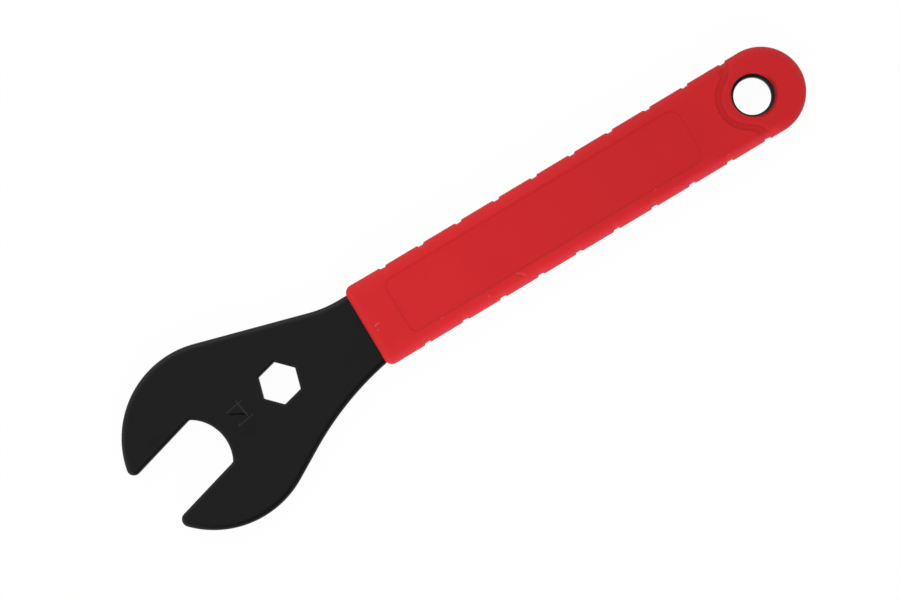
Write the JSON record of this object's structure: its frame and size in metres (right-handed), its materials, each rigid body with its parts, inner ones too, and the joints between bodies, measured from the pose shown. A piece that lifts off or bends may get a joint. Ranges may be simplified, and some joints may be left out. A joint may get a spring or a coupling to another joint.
{
  "type": "cone wrench",
  "caption": "Flat open-ended cone wrench with a slanted jaw, a hexagon hole in its neck and a moulded grip with side notches and a hang hole.",
  "frame": {"origin": "centre of the hang hole, in the middle of the blade's thickness", "axes": "+X along the handle from the jaw to the hang hole, +Y towards the longer upper jaw, +Z out of the broad face"},
  "size_m": [0.1838, 0.0441, 0.0056],
  "materials": {
    "black_steel": "black oxide, satin",
    "red_grip": "moulded soft vinyl, satin"
  },
  "bodies": {
    "root": {"blade": "black_steel", "grip": "red_grip"}
  },
  "joints": []
}
